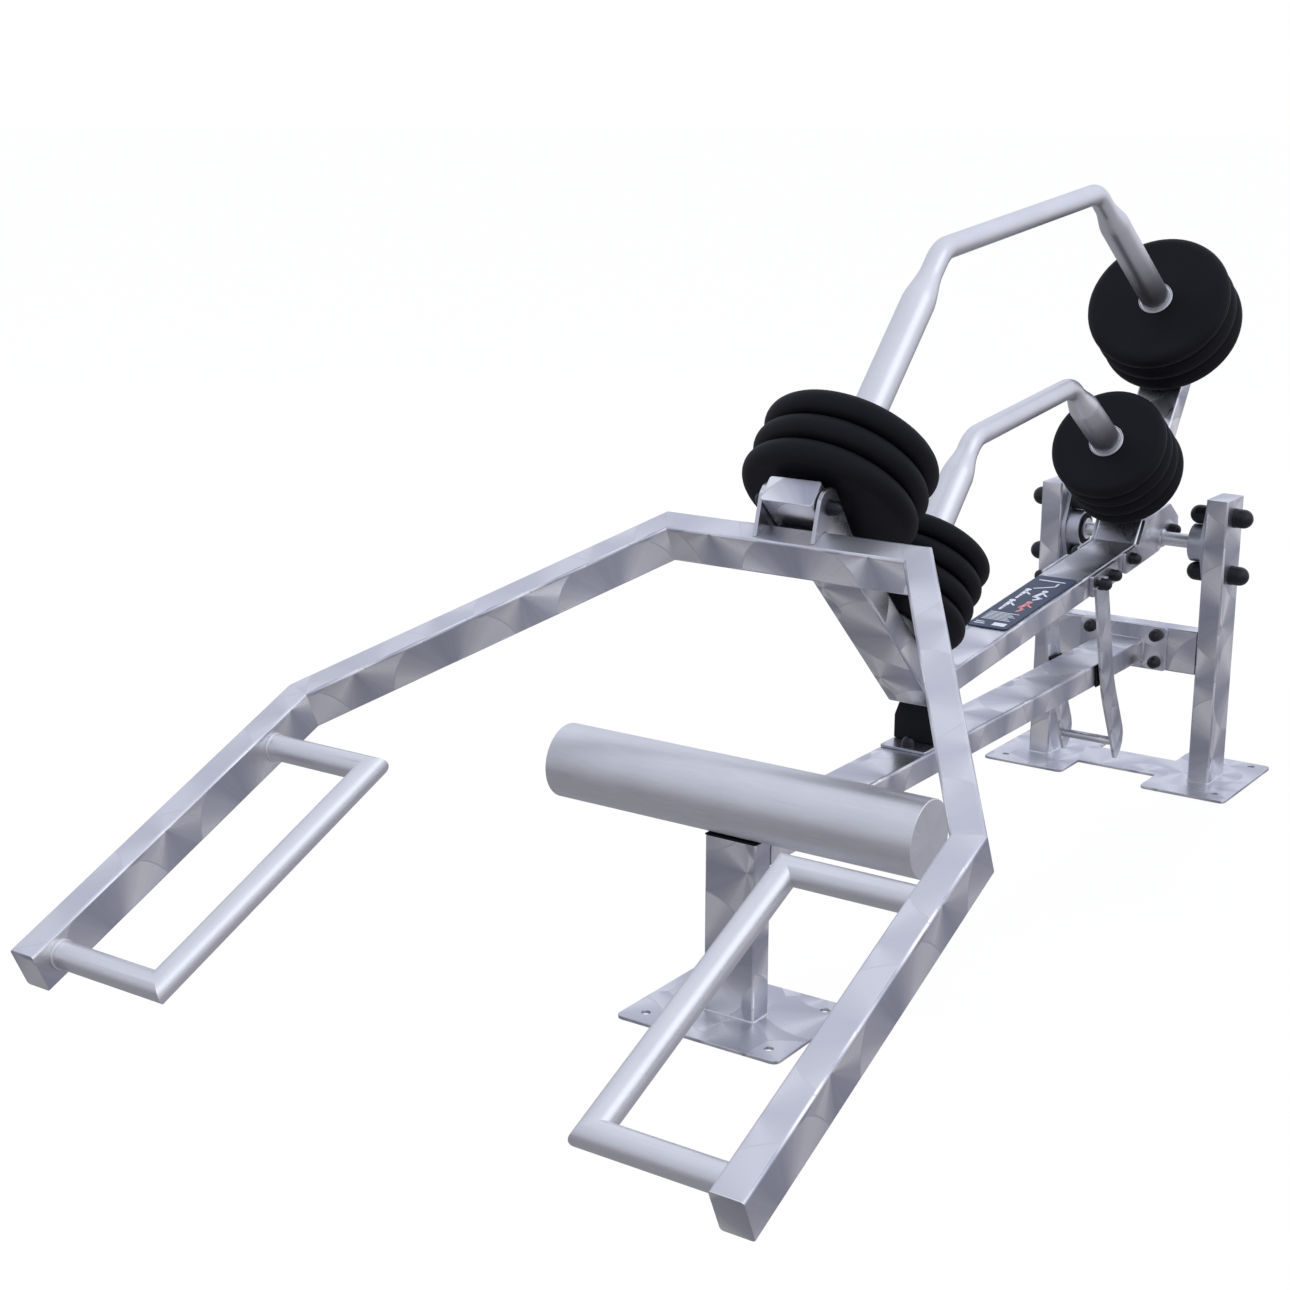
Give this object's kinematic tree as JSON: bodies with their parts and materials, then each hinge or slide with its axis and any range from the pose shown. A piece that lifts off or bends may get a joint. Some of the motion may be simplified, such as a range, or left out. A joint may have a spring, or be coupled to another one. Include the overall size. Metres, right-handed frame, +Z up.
{
  "type": "hack squat machine",
  "caption": "Ground-fixed lever machine: a hinged yoke with two handles hangs from a see-saw beam that turns on a shaft, with round weights sliding on two bent bars.",
  "frame": {"origin": "on the ground, at the centre of the front foot plate's underside, under the centre of the front post", "axes": "+Z up, +Y from the front foot to the rear posts, X across the machine; the plane x = 0 is its plane of symmetry"},
  "size_m": [1.014, 2.3147, 1.0664],
  "materials": {
    "polished_tube": "stainless steel with overlapping circular polishing marks",
    "polished_plate": "stainless steel sheet with circular polishing marks",
    "brushed_round": "satin stainless steel, brushed along its length",
    "bearing_housing": "bright cast housing, satin",
    "black_rubber": "matte black rubber",
    "weight_rubber": "matte black rubber over a weight",
    "black_cap": "semi-gloss black plastic cap",
    "slate_plate": null
  },
  "bodies": {
    "base": {"rear_base_plate": "polished_plate", "front_base_plate": "polished_plate", "rear_post_left": "polished_tube", "rear_post_right": "polished_tube", "front_post": "polished_tube", "cross_beam": "polished_tube", "low_beam_flange": "polished_plate", "low_beam": "polished_tube", "roller": "brushed_round", "roller_pad": "black_rubber", "bumper_plate": "polished_plate", "bumper_block": "black_rubber", "bumper_bolt": "black_cap", "guide_pad_left": "black_rubber", "guide_pad_right": "black_rubber", "bearing_left": "bearing_housing", "bearing_right": "bearing_housing", "bearing_bolt_upper_left": "black_cap", "bearing_bolt_lower_left": "black_cap", "bearing_bolt_upper_right": "black_cap", "bearing_bolt_lower_right": "black_cap"},
    "lever": {"main_beam": "polished_tube", "front_arm": "polished_tube", "rear_arm": "polished_tube", "upper_weight_bar": "brushed_round", "lower_weight_bar": "brushed_round", "side_plate_left": "polished_plate", "side_plate_right": "polished_plate", "bracket_bolt_front": "black_cap", "bracket_bolt_rear": "black_cap", "pivot_shaft": "brushed_round", "stop_bail": "polished_plate", "bail_bolt_front": "black_cap", "bail_bolt_rear": "black_cap", "info_plate": "slate_plate", "yoke_stop_pad": "black_rubber"},
    "yoke": {"yoke_back_beam": "polished_tube", "yoke_diagonal_left": "polished_tube", "yoke_diagonal_right": "polished_tube", "yoke_rail_left": "polished_tube", "yoke_rail_right": "polished_tube", "handle_left": "brushed_round", "handle_right": "brushed_round", "yoke_ear_left": "polished_plate", "yoke_ear_right": "polished_plate", "hinge_bolt": "black_cap"},
    "large_front_1": {"large_plate_front_1": "weight_rubber"},
    "large_front_2": {"large_plate_front_2": "weight_rubber"},
    "large_front_3": {"large_plate_front_3": "weight_rubber"},
    "large_rear_1": {"large_plate_rear_1": "weight_rubber"},
    "large_rear_2": {"large_plate_rear_2": "weight_rubber"},
    "large_rear_3": {"large_plate_rear_3": "weight_rubber"},
    "small_front_1": {"small_plate_front_1": "weight_rubber"},
    "small_front_2": {"small_plate_front_2": "weight_rubber"},
    "small_front_3": {"small_plate_front_3": "weight_rubber"},
    "small_front_4": {"small_plate_front_4": "weight_rubber"},
    "small_rear_1": {"small_plate_rear_1": "weight_rubber"},
    "small_rear_2": {"small_plate_rear_2": "weight_rubber"},
    "small_rear_3": {"small_plate_rear_3": "weight_rubber"},
    "small_rear_4": {"small_plate_rear_4": "weight_rubber"}
  },
  "joints": [
    {"name": "lever_lift", "type": "hinge", "parent": "base", "child": "lever", "pos_m": [0, 1.348, 0.436], "axis": [-1, 0, 0], "range_deg": [0, 25]},
    {"name": "yoke_swing", "type": "hinge", "parent": "lever", "child": "yoke", "pos_m": [0, 0.1396, 0.6838], "axis": [-1, 0, 0], "range_deg": [0, 60]},
    {"name": "large_front_1_slide", "type": "slide", "parent": "lever", "child": "large_front_1", "axis": [0, 0.6947, 0.7193], "range_m": [0, 0.08]},
    {"name": "large_front_2_slide", "type": "slide", "parent": "large_front_1", "child": "large_front_2", "axis": [0, 0.6947, 0.7193], "range_m": [0, 0.08]},
    {"name": "large_front_3_slide", "type": "slide", "parent": "large_front_2", "child": "large_front_3", "axis": [0, 0.6947, 0.7193], "range_m": [0, 0.08]},
    {"name": "large_rear_1_slide", "type": "slide", "parent": "lever", "child": "large_rear_1", "axis": [0, -0.829, 0.5592], "range_m": [0, 0.08]},
    {"name": "large_rear_2_slide", "type": "slide", "parent": "large_rear_1", "child": "large_rear_2", "axis": [0, -0.829, 0.5592], "range_m": [0, 0.08]},
    {"name": "large_rear_3_slide", "type": "slide", "parent": "large_rear_2", "child": "large_rear_3", "axis": [0, -0.829, 0.5592], "range_m": [0, 0.08]},
    {"name": "small_front_1_slide", "type": "slide", "parent": "lever", "child": "small_front_1", "axis": [0, 0.6947, 0.7193], "range_m": [0, 0.03]},
    {"name": "small_front_2_slide", "type": "slide", "parent": "small_front_1", "child": "small_front_2", "axis": [0, 0.6947, 0.7193], "range_m": [0, 0.03]},
    {"name": "small_front_3_slide", "type": "slide", "parent": "small_front_2", "child": "small_front_3", "axis": [0, 0.6947, 0.7193], "range_m": [0, 0.03]},
    {"name": "small_front_4_slide", "type": "slide", "parent": "small_front_3", "child": "small_front_4", "axis": [0, 0.6947, 0.7193], "range_m": [0, 0.03]},
    {"name": "small_rear_1_slide", "type": "slide", "parent": "lever", "child": "small_rear_1", "axis": [0, -0.829, 0.5592], "range_m": [0, 0.03]},
    {"name": "small_rear_2_slide", "type": "slide", "parent": "small_rear_1", "child": "small_rear_2", "axis": [0, -0.829, 0.5592], "range_m": [0, 0.03]},
    {"name": "small_rear_3_slide", "type": "slide", "parent": "small_rear_2", "child": "small_rear_3", "axis": [0, -0.829, 0.5592], "range_m": [0, 0.03]},
    {"name": "small_rear_4_slide", "type": "slide", "parent": "small_rear_3", "child": "small_rear_4", "axis": [0, -0.829, 0.5592], "range_m": [0, 0.03]}
  ]
}
